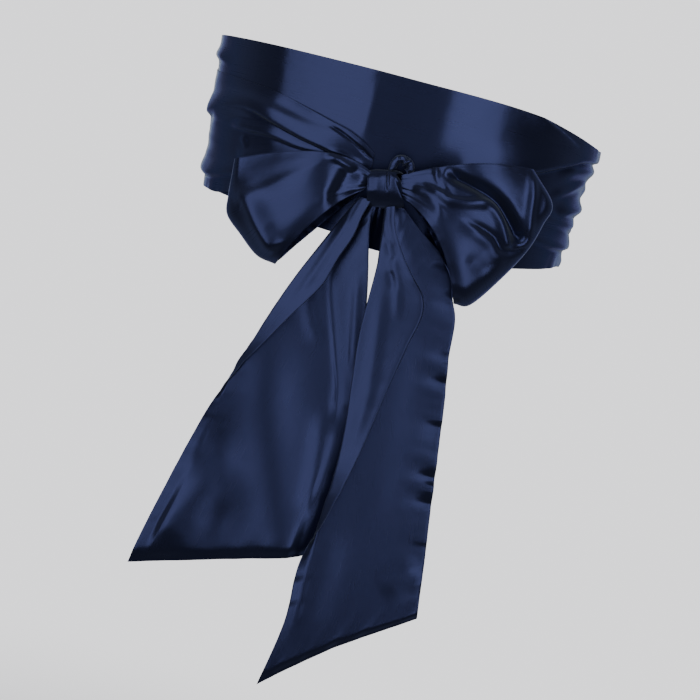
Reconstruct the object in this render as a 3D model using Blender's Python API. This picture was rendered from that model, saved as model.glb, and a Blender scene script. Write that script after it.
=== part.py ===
"""A satin sash as it is worn: one long ribbon wound twice round a waist and tied in a bow.

Run it with: blender --background --python part.py

Frame: metres, +Z up along the waist's axis, the front towards -Y, and +X to the right of someone who
faces the bow. The origin is the middle of the waist that holds the sash. The waist is only a form to
measure from: nothing of it is built, and the winding is hollow.

The ribbon is followed from its inner end to its outer one, and each stretch that shows is a solid:

    under_end    comes down from the knot and passes under the lower edge of the front
    under_turn   the first turn round the waist, next to the body
    front_panel  the smooth front
    outer_turn   the second turn, gathered in level folds round the right side, back and left side
    left_gather  the outer end, drawn over the front to the knot in slanting pleats
    the bow      knot_core, knot_wrap, knot_tuck, left_loop, right_loop, left_tail, right_tail

Every stretch is a wall of cloth: its middle surface is worked out as a grid of points, and the wall
is that grid moved half a thickness to either side. The tables below are in millimetres and degrees,
and each says what its columns are.
"""

import math

import bmesh
import bpy
import numpy as np

MM = 0.001

# Cloth: two layers of satin, seamed along the edges and turned
WALL = 1.2 * MM
NAVY = (0.012, 0.026, 0.085, 1.0)
SATIN_ROUGHNESS = 0.38

# The waist is an ellipse that narrows downwards: half width and sideways shift at two heights
WAIST_TOP, WAIST_BOTTOM = 50 * MM, -50 * MM
HALF_WIDTH_TOP, HALF_WIDTH_BOTTOM = 131 * MM, 120.5 * MM
SHIFT_TOP, SHIFT_BOTTOM = -0.5 * MM, 4 * MM
DEPTH_SHARE = 0.71  # half depth over half width

# The winding: an angle of 0 is the front, 90 the right side, and 360 the front again, one layer out
INNER_MIDDLE = 0.6 * MM  # middle of the cloth where the winding starts, out from the waist
PITCH = 1.7 * MM  # gained in each turn
STATION = 7.5  # degrees between sections, the same in every layer, so that the facets stay parallel
UNDER_FROM, PANEL_FROM, OUTER_FROM, GATHER_FROM, GATHER_TO = 7.5, 292.5, 442.5, 652.5, 714.0
SEAM_TRIM = 0.2  # degrees taken off each end of a stretch, which leaves over 0.3 mm between two

# Upper and lower edge along the winding: (angle, top, bottom)
UNDER_EDGES = (
    (0, 47, -47),
    (60, 42, -41),
    (90, 38, -37),
    (135, 44, -43),
    (180, 46, -46),
    (225, 48, -46),
    (255, 51.5, -47),
    (300, 52.5, -50),
)
WINDING_EDGES = (
    (292, 52.3, -50),
    (322, 53, -52.5),
    (360, 53.4, -54.5),
    (400, 52.5, -50),
    (414, 48.7, -46.5),
    (430, 44, -43),
    (442, 42, -41),
    (460, 43, -42),
    (490, 46, -46),
    (540, 50, -50),
    (575, 49, -50),
    (600, 43, -50),
    (620, 33.5, -49.7),
    (632, 29, -49.5),
    (645, 27.5, -50),
    (655, 27, -50.5),
    (665, 26.3, -47.5),
    (675, 25, -42),
    (683, 22.8, -35.5),
    (692, 18.2, -28),
    (701, 12.2, -21),
    (706, 9, -17),
    (710, 4, -14.5),
    (714, -2.5, -12.5),
)

# Folds of the winding, each a ridge that runs along it: where it starts and ends, its height there,
# how far it stands out, and how far it takes to die away above and below
# (from, to, z from, z to, out, above, below)
FOLDS = (
    (404, 520, 22, 36, 3.4, 9, 2.5),
    (418, 545, 17, 27, 3.8, 4, 4),
    (424, 528, 12, 13, 3.0, 5, 3.5),
    (420, 560, -2, 0, 3.6, 6, 3.5),
    (430, 500, -10, -13, 2.6, 5, 4),
    (424, 530, -24, -26, 3.8, 5, 3),
    (432, 515, -38, -38, 2.4, 4, 5),
    (500, 600, 38, 35, 3.2, 7, 3),
    (520, 632, 22, 18, 3.0, 6, 4),
    (535, 610, 10, 6, 2.4, 6, 5),
    (560, 640, -8, -16, 3.4, 8, 4),
    (535, 605, -26, -30, 3.2, 8, 3),
    (590, 676, -35, -38, 3.6, 9, 2.5),
    (622, 676, -1, 9.5, 3.6, 9, 2),
    (662, 716, 9.5, -9, 3.6, 9, 2),
    (664, 716, -3.5, -8, 3.2, 7, 2),
    (672, 716, -26, -12, 3.2, 8, 3),
)
FOLD_ENDS = 14  # degrees in which a fold rises and dies away
BAND_ROWS = 18

# The under end, a narrow J in profile: (out from the front panel, z, half width)
UNDER_END = (
    (7.6, -26, 7),
    (6.6, -36, 8.5),
    (4.2, -46, 10),
    (2.2, -53.5, 11),
    (1.0, -57.6, 11),
    (-1.1, -57.6, 11),
    (-1.7, -54, 11),
    (-1.7, -40, 11),
    (-1.7, -20, 11),
)
UNDER_END_X = 2.5

# The knot, an ellipsoid whose outer layer goes over it from the back to the back again
KNOT_MIDDLE = (0.5, -104, -17)
KNOT_HALF = (9.5, 6.2, 7.4)
KNOT_RINGS, KNOT_SIDES = 10, 16
WRAP_CLEAR = 1.0  # middle of the wrap, out from the core
WRAP_TURN = (-62, 242)  # degrees round the knot, from below at the back to above at the back

# The small fold above the knot: (x, z, y in front, y behind)
TUCK = (
    (0.5, -5.6, -106, -98),
    (0.2, -1, -107, -97.5),
    (2.6, 3.6, -106.5, -97),
    (7.5, 5.3, -105, -97),
    (12.2, 3, -106, -97),
    (14.2, -1.6, -107, -98),
    (11.8, -5.2, -106.5, -99),
)

# Loops: one row for each spoke, from the upper selvage to the lower one
# (root x, z, mid x, z, end x, z, root y, mid y, end y, half depth at the middle and at the end)
LEFT_LOOP = (
    (-12.2, -11, -45, -6, -97.5, -24.5, -103, -102, -89, 2.5, 1.9),
    (-12.6, -13, -48, -13, -96.5, -36, -103.2, -103, -90, 6.5, 2.2),
    (-13.0, -15, -48, -20, -95.5, -48, -103.4, -103.5, -91, 9.5, 3.0),
    (-13.5, -17, -47, -28, -93.2, -60, -103.6, -104, -92, 12.5, 4.5),
    (-14.0, -18.8, -45, -36, -82, -70, -103.8, -104, -94, 14.0, 6.0),
    (-14.6, -20.5, -42, -43, -68, -80.5, -104, -104, -96, 14.0, 7.0),
    (-15.4, -22, -37, -48, -55, -82.5, -104, -104, -98, 11.0, 6.0),
)
RIGHT_LOOP = (
    (12.4, -7, 50, 11.5, 88.5, 18, -103, -103, -88, 2.5, 1.9),
    (12.8, -9, 54, 3, 106, 0, -103.2, -104, -88, 8.0, 2.6),
    (13.2, -11.2, 55, -6, 104, -14, -103.4, -105, -88, 11.0, 3.6),
    (13.6, -13.4, 54, -16, 99, -32, -103.6, -106, -90, 13.5, 4.6),
    (14.0, -15.6, 51, -26, 89, -52, -103.8, -106, -92, 14.5, 5.6),
    (14.4, -18, 46, -35, 76, -71, -104, -106, -95, 13.0, 6.0),
    (14.8, -20.5, 40, -39, 64, -78, -104, -105, -98, 10.0, 5.0),
)
LOOP_ROOT_HALF = 2.4  # half depth where a loop leaves the knot
LOOP_COLUMNS = 12
LOOP_LEG, LOOP_TURN = 8, 4  # sections along each leg of a loop, and in half of its turn
# Troughs pressed into the front of a loop: (from along, to along, from across, to across, deep, half
# width), along from the knot and across from the upper selvage, each 0 to 1
LEFT_TROUGHS = ((0.45, 0.85, 0.12, 0.34, 1.6, 0.07),)
RIGHT_TROUGHS = (
    (0.22, 0.92, 0.16, 0.50, 8.0, 0.065),
    (0.50, 0.98, 0.62, 0.56, 3.5, 0.06),
)

# Tails: one row for each section from the knot to the hem. Heights at the left and the right, then
# x and y of each corner of the section, y from the tails' own plane
TAIL_PLANE = -100
# (z left, z right, flap, fold, valley, crest, tuck)
LEFT_TAIL = (
    (-27.3, -27.3, -6, -6, -14.5, -3, -8, 0, -2.6, -4, -8, 3),
    (-38, -38, -9, -7.5, -20, -3, -13, 0.3, -2.6, -4.5, -11, 3.5),
    (-51, -52, -11, -8.5, -26, -2.5, -18, 0.5, -2.2, -5, -15, 4.5),
    (-68, -70, -17, -8.5, -33.5, -2.5, -20, 0.6, 1.2, -5.5, -18, 5),
    (-86, -88, -22, -8.5, -41.2, -2.5, -18, 0.6, 4.4, -5, -17, 5.2),
    (-110, -111, -36, -8, -50, -2.5, -6, 0.6, 8, -4, -8, 5.5),
    (-131, -130, -48, -7, -56.6, -2.5, 4, 0.8, 11, -2.5, 0, 5.5),
    (-152, -149, -60, -5.5, -63.6, -1.5, 9.5, 1.2, 14.5, -0.5, 8, 5),
    (-178, -171, -71.5, -2.2, -67, -1.5, 11.5, 1.8, 17, 1.8, 20, 4.5),
    (-208, -196, -80, 0, -73, -1.5, 10, 2.2, 17, 2.6, 21, 4),
    (-245, -226, -88.8, 1.2, -80, -1, 7, 2.6, 13.5, 3, 17.5, 3.8),
    (-272, -245, -94.8, 2, -86, 0, 5, 3, 11.5, 3.2, 15.5, 3.6),
    (-297, -262, -99.7, 3, -91, 1, 3, 3.2, 9.5, 3.4, 13.5, 3.6),
)
# (z left, z right, flap, fold, face, edge)
RIGHT_TAIL = (
    (-27.3, -27.3, 9.5, -7.5, 2.6, -4, 8, -1, 15.5, -3),
    (-38, -37, 12, -10, 4, -6, 13, -1.5, 28, -2),
    (-52, -50, 19.5, -12, 5.5, -7.5, 20, -2, 42, -1.5),
    (-66, -64, 30, -13, 7, -8.5, 27, -2.8, 52, -1.5),
    (-77, -75, 40, -13.2, 8, -9, 32, -3.4, 58.5, -1.5),
    (-87, -85, 44, -13, 9, -9.5, 35, -3.8, 62, -1.5),
    (-113, -111, 40, -12.8, 11, -9.5, 38, -4.2, 67.5, -1.8),
    (-144, -141, 35, -12.5, 13.6, -9.5, 42, -4.6, 72.8, -2),
    (-176, -172, 30.5, -12.2, 15.6, -9.2, 46, -5, 77.4, -2.4),
    (-207, -201, 24.6, -11.8, 15.2, -9, 48, -5.4, 81.3, -2.8),
    (-232, -222, 18.6, -11.2, 14.0, -8.8, 48, -5.8, 84.2, -3.2),
    (-262, -243, 9.6, -9.8, 15.5, -8.8, 48, -6.2, 87.4, -3.8),
    (-304, -262, 9.8, -8.8, 17, -8.4, 49, -6.8, 89.8, -4.4),
    (-351, -281.5, 3, -7.6, 11.5, -8, 44, -7.6, 92.5, -5),
)
LEFT_HEM_BOW, RIGHT_HEM_BOW = 0.0, 0.25  # how far a slanted hem bows up, for its drop across
TAIL_ROWS = 24
TAIL_CUTS = 1.9  # how far each corner of a tail's section is cut back, for the smallest fold
TAIL_LEG, TAIL_TURN = 1, 3


def smooth_through(places, values, at):
    """A smooth curve through values at places, read at other places: cubic pieces whose slopes are
    those of the chords between neighbours."""
    places, values, at = (np.asarray(a, float) for a in (places, values, at))
    column = (-1,) + (1,) * (values.ndim - 1)
    chords = np.diff(values, axis=0) / np.diff(places).reshape(column)
    slopes = np.concatenate([chords[:1], (chords[1:] + chords[:-1]) / 2, chords[-1:]])
    piece = np.clip(np.searchsorted(places, at, side="right") - 1, 0, len(places) - 2)
    step = (places[piece + 1] - places[piece]).reshape(column)
    t = (at - places[piece]).reshape(column) / step
    return (
        values[piece] * (2 * t**3 - 3 * t**2 + 1)
        + slopes[piece] * step * (t**3 - 2 * t**2 + t)
        + values[piece + 1] * (3 * t**2 - 2 * t**3)
        + slopes[piece + 1] * step * (t**3 - t**2)
    )


def ramp(value, low, high):
    """0 below low, 1 above high, and an even S between."""
    t = np.clip((np.asarray(value, float) - low) / (high - low), 0, 1)
    return t * t * (3 - 2 * t)


def rounded(corners, cut):
    """Sections (section, corner, xyz) with each inner corner cut back by the same length, or by 0.45
    of its shorter leg if that is less, and bridged by a parabola."""
    legs = np.diff(corners, axis=1)
    lengths = np.linalg.norm(legs, axis=2)
    along = legs / lengths[..., None]
    reach = np.minimum(cut, 0.45 * np.minimum(lengths[:, :-1], lengths[:, 1:]))[..., None]
    start = corners[:, 1:-1] - reach * along[:, :-1]
    end = corners[:, 1:-1] + reach * along[:, 1:]
    columns = []
    before = corners[:, 0]
    for k in range(corners.shape[1] - 2):
        for t in np.arange(TAIL_LEG) / TAIL_LEG:
            columns.append(before + (start[:, k] - before) * t)
        for t in np.arange(TAIL_TURN) / TAIL_TURN:
            columns.append((1 - t) ** 2 * start[:, k] + 2 * t * (1 - t) * corners[:, k + 1] + t**2 * end[:, k])
        before = end[:, k]
    for t in np.linspace(0, 1, TAIL_LEG + 1):
        columns.append(before + (corners[:, -1] - before) * t)
    return np.stack(columns, axis=1)


def normals_of(grid):
    """The unit normal at each point of a grid, from the steps to its neighbours."""
    across = np.cross(np.gradient(grid, axis=0), np.gradient(grid, axis=1))
    return across / np.linalg.norm(across, axis=2, keepdims=True)


def satin():
    """The one material of the sash."""
    made = bpy.data.materials.new("navy_satin")
    made.use_nodes = True
    shader = made.node_tree.nodes["Principled BSDF"]
    shader.inputs["Base Color"].default_value = NAVY
    shader.inputs["Roughness"].default_value = SATIN_ROUGHNESS
    shader.inputs["Metallic"].default_value = 0.0
    return made


def closed(name, points, faces, material):
    """An object whose faces all point out, whatever order they were made in."""
    mesh = bpy.data.meshes.new(name)
    mesh.from_pydata(points.tolist(), [], faces)
    shape = bmesh.new()
    shape.from_mesh(mesh)
    bmesh.ops.recalc_face_normals(shape, faces=shape.faces)
    if shape.calc_volume(signed=True) < 0:
        bmesh.ops.reverse_faces(shape, faces=shape.faces)
    shape.to_mesh(mesh)
    shape.free()
    mesh.materials.append(material)
    mesh.shade_smooth()
    mesh.set_sharp_from_angle(angle=math.radians(50))
    made = bpy.data.objects.new(name, mesh)
    bpy.context.scene.collection.objects.link(made)
    return made


def wall(name, grid, material):
    """A closed wall of cloth about a grid of middle points: its two faces, and the rim round them.
    Both faces are split along the same diagonals, so that they stay one thickness apart."""
    rows, columns = grid.shape[:2]
    half = normals_of(grid) * WALL / 2
    points = np.concatenate([(grid + half).reshape(-1, 3), (grid - half).reshape(-1, 3)])
    index = np.arange(rows * columns).reshape(rows, columns)
    a, b, c, d = (k.ravel() for k in (index[:-1, :-1], index[1:, :-1], index[1:, 1:], index[:-1, 1:]))
    front = np.concatenate([np.stack([a, b, c], 1), np.stack([a, c, d], 1)])
    back = front[:, ::-1] + rows * columns
    rim = np.concatenate([index[0, :], index[1:, -1], index[-1, -2::-1], index[-2:0:-1, 0]])
    turn = np.roll(rim, -1)
    side = np.stack([turn, rim, rim + rows * columns], 1)
    other = np.stack([turn, rim + rows * columns, turn + rows * columns], 1)
    faces = np.concatenate([front, back, side, other]).tolist()
    return closed(name, points, faces, material)


def winding_point(angle, height, out=0.0):
    """A point of the winding: angle in degrees along it, height and extra distance out in metres.
    The ellipse of the waist at that height, moved out by the layers below."""
    share = (height - WAIST_BOTTOM) / (WAIST_TOP - WAIST_BOTTOM)
    half_width = HALF_WIDTH_BOTTOM + (HALF_WIDTH_TOP - HALF_WIDTH_BOTTOM) * share
    shift = SHIFT_BOTTOM + (SHIFT_TOP - SHIFT_BOTTOM) * share
    layer = INNER_MIDDLE + PITCH * angle / 360 + out
    x = shift + (half_width + layer) * np.sin(np.radians(angle))
    y = -(half_width * DEPTH_SHARE + layer) * np.cos(np.radians(angle))
    return np.stack(np.broadcast_arrays(x, y, height), axis=-1)


def folds_out(angle, height):
    """How far the folds stand out, at angles and heights in metres: the highest of them wins."""
    out = np.zeros(np.broadcast_shapes(angle.shape, height.shape))
    for first, last, z_first, z_last, most, above, below in FOLDS:
        along = ramp(angle, first, first + FOLD_ENDS) * ramp(-angle, -last, FOLD_ENDS - last)
        middle = z_first + (z_last - z_first) * np.clip((angle - first) / (last - first), 0, 1)
        off = height / MM - middle
        away = np.where(off > 0, off / above, off / below)
        out = np.maximum(out, most * MM * along * np.exp(-(away**2)))
    return out


def stations(first, last):
    """The angles of a stretch's sections, with its ends trimmed for the seams."""
    inner = np.arange(math.floor(first / STATION) + 1, math.ceil(last / STATION)) * STATION
    return np.concatenate([[first + SEAM_TRIM], inner, [last - SEAM_TRIM]])


def stretch(first, last, edges, rows):
    """The middle surface of one stretch of the winding, between its two edges."""
    angle = stations(first, last)
    places, top, bottom = np.array(edges, float).T
    top, bottom = (smooth_through(places, edge * MM, angle)[:, None] for edge in (top, bottom))
    height = bottom + (top - bottom) * np.linspace(0, 1, rows)
    return winding_point(angle[:, None], height, folds_out(angle[:, None], height))


def under_end_grid():
    """A strip with a J in profile, which goes round the lower edge of the front."""
    out, z, half = np.array(UNDER_END, float).T * MM
    x = UNDER_END_X * MM + half[:, None] * np.linspace(-1, 1, 5)
    angle = np.degrees((x - SHIFT_BOTTOM) / HALF_WIDTH_BOTTOM)
    return winding_point(360 + angle, z[:, None], out[:, None])


def on_knot(turn, across, clear):
    """A point out from the knot: turn in radians round the x axis from the front up, across -1 to 1
    along that axis."""
    middle, half = np.array(KNOT_MIDDLE) * MM, np.array(KNOT_HALF) * MM
    round_off = np.sqrt(np.maximum(1 - 0.45 * across**2, 0))
    x = middle[0] + half[0] * across
    y = middle[1] - (half[1] * round_off + clear) * np.cos(turn)
    z = middle[2] + (half[2] * round_off + clear) * np.sin(turn)
    return np.stack(np.broadcast_arrays(x, y, z), axis=-1)


def knot_core(material):
    """The hidden layers of the knot, a barrel with closed ends."""
    across = np.sin(np.linspace(-1, 1, KNOT_RINGS) * math.pi / 2)
    turn = np.linspace(0, 2 * math.pi, KNOT_SIDES, endpoint=False)
    rings = on_knot(turn[None, :], across[:, None], 0.0)
    middle = rings.mean(axis=1, keepdims=True)
    closing = np.sqrt(1 - (0.75 * across[:, None, None]) ** 2)
    rings = middle + (rings - middle) * closing
    points = np.concatenate([rings.reshape(-1, 3), middle[[0, -1], 0]])
    faces = []
    for i in range(KNOT_RINGS - 1):
        for j in range(KNOT_SIDES):
            k = (j + 1) % KNOT_SIDES
            faces.append([i * KNOT_SIDES + j, (i + 1) * KNOT_SIDES + j, (i + 1) * KNOT_SIDES + k, i * KNOT_SIDES + k])
    low, high = len(points) - 2, len(points) - 1
    for j in range(KNOT_SIDES):
        k = (j + 1) % KNOT_SIDES
        faces.append([low, j, k])
        faces.append([high, (KNOT_RINGS - 1) * KNOT_SIDES + k, (KNOT_RINGS - 1) * KNOT_SIDES + j])
    return closed("knot_core", points, faces, material)


def knot_wrap_grid():
    """The outer layer of the knot, round its front."""
    turn = np.radians(np.linspace(*WRAP_TURN, 16))
    across = np.linspace(-1, 1, 6)
    return on_knot(turn[:, None], across[None, :], WRAP_CLEAR * MM)


def knot_tuck_grid():
    """The small fold above the knot: an arch that is open to the front and the back."""
    x, z, front, behind = (c[:, None] * MM for c in np.array(TUCK, float).T)
    at = np.linspace(0, len(TUCK) - 1, 13)
    x, z, front, behind = (smooth_through(np.arange(len(TUCK)), c, at) for c in (x, z, front, behind))
    y = front + (behind - front) * np.linspace(0, 1, 4)
    return np.stack(np.broadcast_arrays(x, y, z), axis=-1)


def loop_grid(spokes, troughs):
    """A loop from the back of the knot out, round its end, and in to the front of the knot. Each
    spoke has a middle line, and its two legs lie a half depth before and behind it. The half depth
    is a half circle at the end, and swells to its most half way."""
    across = np.linspace(0, 1, LOOP_COLUMNS)
    table = smooth_through(np.linspace(0, 1, len(spokes)), np.array(spokes, float) * MM, across)
    root_x, root_z, mid_x, mid_z, end_x, end_z, root_y, mid_y, end_y, swell, tip = (c[:, None] for c in table.T)
    root, mid, end = (np.stack(p, -1) for p in ((root_x, root_y, root_z), (mid_x, mid_y, mid_z), (end_x, end_y, end_z)))
    length = np.linalg.norm(end - mid, axis=-1) + np.linalg.norm(mid - root, axis=-1)
    turn = np.linspace(0, math.pi / 2, LOOP_TURN + 1)
    near_end = tip * (1 - np.cos(turn)) / length  # shares of the spoke, counted from the end
    legs = np.linspace(0, 1, LOOP_LEG + 1)[1:]
    from_end = np.concatenate([near_end, near_end[:, -1:] + (1 - near_end[:, -1:]) * legs], axis=1)
    at = (1 - from_end)[..., None]
    line = root * (1 - at) * (1 - 2 * at) + mid * 4 * at * (1 - at) + end * at * (2 * at - 1)
    round_end = np.concatenate([tip * np.sin(turn), np.repeat(tip, LOOP_LEG, axis=1)], axis=1)
    bulge = (swell - tip) * np.sin(math.pi * np.clip(from_end, 0, 1)) ** 1.5
    root_share = ramp(from_end, 0.6, 1.0)
    half = round_end * (1 - root_share) + bulge + LOOP_ROOT_HALF * MM * root_share
    pressed = np.zeros_like(half)
    for first, last, across_first, across_last, deep, wide in troughs:
        along = ramp(1 - from_end, first, first + 0.15) * ramp(from_end - 1, -last, 0.15 - last)
        share = np.clip((1 - from_end - first) / (last - first), 0, 1)
        off = (across[:, None] - across_first - (across_last - across_first) * share) / wide
        pressed = np.maximum(pressed, deep * MM * along * np.exp(-(off**2)))
    forward = np.array([0.0, -1.0, 0.0])
    back_leg = line - half[..., None] * forward
    front_leg = line + (half - pressed)[..., None] * forward
    sections = np.concatenate([back_leg[:, ::-1], front_leg[:, 1:]], axis=1)
    return sections.transpose(1, 0, 2)


def tail_grid(sections, bow):
    """A hanging end: its sections' corners are run smoothly from the knot to the hem and rounded.
    A point's height is set by how far across the section it lies, along a line or a slight arc."""
    table = np.array(sections, float) * MM
    along = np.concatenate([[0], np.cumsum(np.abs(np.diff(table[:, 0])) + 1e-6)])
    at = np.linspace(0, along[-1], TAIL_ROWS)
    table = smooth_through(along, table, at)
    left, right, x, y = table[:, 0], table[:, 1], table[:, 2::2], table[:, 3::2] + TAIL_PLANE * MM
    share = (x - x.min(axis=1, keepdims=True)) / np.ptp(x, axis=1)[:, None]
    z = left[:, None] + (right - left)[:, None] * (share + bow * share * (1 - share))
    return rounded(np.stack([x, y, z], axis=-1), TAIL_CUTS * MM)


def build():
    for leftover in list(bpy.data.objects):
        bpy.data.objects.remove(leftover, do_unlink=True)
    cloth = satin()
    wall("under_end", under_end_grid(), cloth)
    wall("under_turn", stretch(UNDER_FROM, PANEL_FROM, UNDER_EDGES, 4), cloth)
    wall("front_panel", stretch(PANEL_FROM, OUTER_FROM, WINDING_EDGES, BAND_ROWS), cloth)
    wall("outer_turn", stretch(OUTER_FROM, GATHER_FROM, WINDING_EDGES, BAND_ROWS), cloth)
    wall("left_gather", stretch(GATHER_FROM, GATHER_TO, WINDING_EDGES, BAND_ROWS), cloth)
    knot_core(cloth)
    wall("knot_wrap", knot_wrap_grid(), cloth)
    wall("knot_tuck", knot_tuck_grid(), cloth)
    wall("left_loop", loop_grid(LEFT_LOOP, LEFT_TROUGHS), cloth)
    wall("right_loop", loop_grid(RIGHT_LOOP, RIGHT_TROUGHS), cloth)
    wall("left_tail", tail_grid(LEFT_TAIL, LEFT_HEM_BOW), cloth)
    wall("right_tail", tail_grid(RIGHT_TAIL, RIGHT_HEM_BOW), cloth)


build()
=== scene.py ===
# %% [markdown]
# # A satin sash, tied in a bow
#
# The real thing is one long ribbon of navy satin, two layers seamed along their edges and turned the
# right way out. It goes twice round a waist and is tied in front in a bow. Here each stretch of it
# becomes a thin shell of cloth on the form of its solid in the CAD model, and its creases are placed
# one by one. We start with that model, which stays fixed.

# %% Load the CAD frame
import math

import bpy
import numpy as np
from mathutils import Matrix, Vector


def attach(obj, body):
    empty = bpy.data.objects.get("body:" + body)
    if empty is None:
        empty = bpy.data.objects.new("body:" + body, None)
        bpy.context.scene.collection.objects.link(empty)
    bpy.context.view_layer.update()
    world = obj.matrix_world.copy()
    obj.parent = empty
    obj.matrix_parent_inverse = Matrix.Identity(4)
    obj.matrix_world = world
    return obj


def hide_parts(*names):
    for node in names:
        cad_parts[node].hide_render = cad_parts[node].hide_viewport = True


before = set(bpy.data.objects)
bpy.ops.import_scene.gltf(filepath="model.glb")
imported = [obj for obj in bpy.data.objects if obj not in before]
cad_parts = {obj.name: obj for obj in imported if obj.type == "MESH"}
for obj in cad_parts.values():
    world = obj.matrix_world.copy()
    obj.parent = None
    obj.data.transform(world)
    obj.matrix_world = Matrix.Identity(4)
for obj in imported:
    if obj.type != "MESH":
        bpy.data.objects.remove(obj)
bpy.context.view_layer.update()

MM = 0.001

# %% [markdown]
# ## The camera
#
# A Blender camera looks along its own -Z axis, with +Y up. We work out its three directions
# ourselves: forwards is from the camera to its target, and the other two are turned about that by a
# roll, which sets the sash at a slant in the frame. A long lens keeps the band from bulging.

# %% Camera
CAMERA_PLACE = Vector((0.0, -1.42, 0.005))
CAMERA_TARGET = Vector((0.0055, -0.10, -0.124))
CAMERA_ROLL = math.radians(15)
CAMERA_LENS, CAMERA_SENSOR = 106, 36


def camera_axes(place, target, roll):
    """Right, up and backwards of a camera: level at first, then turned by roll about its view."""
    forwards = (target - place).normalized()
    level = forwards.cross(Vector((0, 0, 1))).normalized()
    upright = level.cross(forwards)
    right = math.cos(roll) * level + math.sin(roll) * upright
    up = math.cos(roll) * upright - math.sin(roll) * level
    return right, up, -forwards


camera_data = bpy.data.cameras.new("camera")
camera_data.lens, camera_data.sensor_width = CAMERA_LENS, CAMERA_SENSOR
camera = bpy.data.objects.new("camera", camera_data)
bpy.context.scene.collection.objects.link(camera)
axes = camera_axes(CAMERA_PLACE, CAMERA_TARGET, CAMERA_ROLL)
camera.matrix_world = Matrix.Translation(CAMERA_PLACE) @ Matrix(axes).transposed().to_4x4()
bpy.context.scene.camera = camera
print("camera looks down by", round(math.degrees(math.asin(axes[2].z)), 1), "degrees")

# %% [markdown]
# ## Light for satin
#
# Satin shows its shape by what it reflects. Two tall soft boxes stand left and right of the camera,
# so each fold that turns left or right catches a long soft band of light. A much dimmer one stands
# between them: what faces straight ahead is deep but not black. A dimmer pair lights the back.

# %% Soft boxes
AIM = Vector((0.0, -0.09, -0.10))
BOX_HEIGHT, BOX_LIFT = 3.4, 0.45  # its middle is lifted above the aim, and it tilts down to it
# (name, azimuth from straight ahead, distance, width, radiance)
SOFT_BOXES = (
    ("left_box", -36, 2.0, 1.45, 1.9),
    ("right_box", 31, 2.0, 0.90, 2.4),
    ("front_box", 3, 2.2, 1.10, 0.33),
    ("back_left_box", -150, 2.2, 0.9, 1.4),
    ("back_right_box", 146, 2.2, 0.8, 1.4),
)


def soft_box(name, azimuth, distance, width, radiance):
    """A tall rectangle of light that faces the aim: its power is radiance x area x pi."""
    light = bpy.data.lights.new(name, "AREA")
    light.shape = "RECTANGLE"
    light.size, light.size_y = width, BOX_HEIGHT
    light.energy = radiance * width * BOX_HEIGHT * math.pi
    turn = math.radians(azimuth)
    away = Vector((math.sin(turn) * distance, -math.cos(turn) * distance, BOX_LIFT))
    made = bpy.data.objects.new(name, light)
    made.matrix_world = Matrix.Translation(AIM + away) @ away.to_track_quat("Z", "Y").to_matrix().to_4x4()
    made.visible_camera = False
    bpy.context.scene.collection.objects.link(made)
    return made


boxes = [soft_box(*row) for row in SOFT_BOXES]
print("soft boxes:", [box.name for box in boxes])

# %% [markdown]
# ## The studio
#
# The world is pale where the camera sees it. Reflections and shadows see another one: pale behind
# the sash, as a studio wall would be, and dark in front. The floor is lit near the sash and melts
# into the world's own tone further out, so that no horizon shows.

# %% World and floor
BACKDROP = (1.55, 1.55, 1.60, 1.0)
WALL_BEHIND, DARK_AHEAD = (0.46, 0.46, 0.47, 1.0), (0.09, 0.09, 0.09, 1.0)
FLOOR_HEIGHT, FLOOR_TONE = -1.0, (0.8, 0.8, 0.82, 1)
FLOOR_RADIUS, FLOOR_FADE_FROM, FLOOR_FADE_TO = 30.0, 0.8, 2.4


def node(tree, kind, **settings):
    """A node with its properties set; a setting that is a dictionary fills its input sockets."""
    made = tree.nodes.new(kind)
    for name, value in settings.items():
        if name == "inputs":
            for socket, given in value.items():
                made.inputs[socket].default_value = given
        else:
            setattr(made, name, value)
    return made


def join(tree, *pairs):
    """Links, each given as a node, its output, another node and its input."""
    for source, output, target, socket in pairs:
        tree.links.new(source.outputs[output], target.inputs[socket])


def studio_world():
    """The backdrop for the camera, and for every other ray a blend from dark ahead to the wall."""
    world = bpy.data.worlds.new("studio")
    world.use_nodes = True
    tree = world.node_tree
    tree.nodes.clear()
    place = node(tree, "ShaderNodeTexCoord")
    parts = node(tree, "ShaderNodeSeparateXYZ")
    turned_back = {"From Min": -0.5, "From Max": 0.6}
    behind = node(tree, "ShaderNodeMapRange", interpolation_type="SMOOTHSTEP", inputs=turned_back)
    around = node(tree, "ShaderNodeMix", data_type="RGBA", inputs={"A": DARK_AHEAD, "B": WALL_BEHIND})
    seen = node(tree, "ShaderNodeMix", data_type="RGBA", inputs={"B": BACKDROP})
    path = node(tree, "ShaderNodeLightPath")
    shine = node(tree, "ShaderNodeBackground")
    out = node(tree, "ShaderNodeOutputWorld")
    join(
        tree,
        (place, "Generated", parts, "Vector"),
        (parts, "Y", behind, "Value"),
        (behind, "Result", around, "Factor"),
        (around, "Result", seen, "A"),
        (path, "Is Camera Ray", seen, "Factor"),
        (seen, "Result", shine, "Color"),
        (shine, "Background", out, "Surface"),
    )
    bpy.context.scene.world = world


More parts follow.
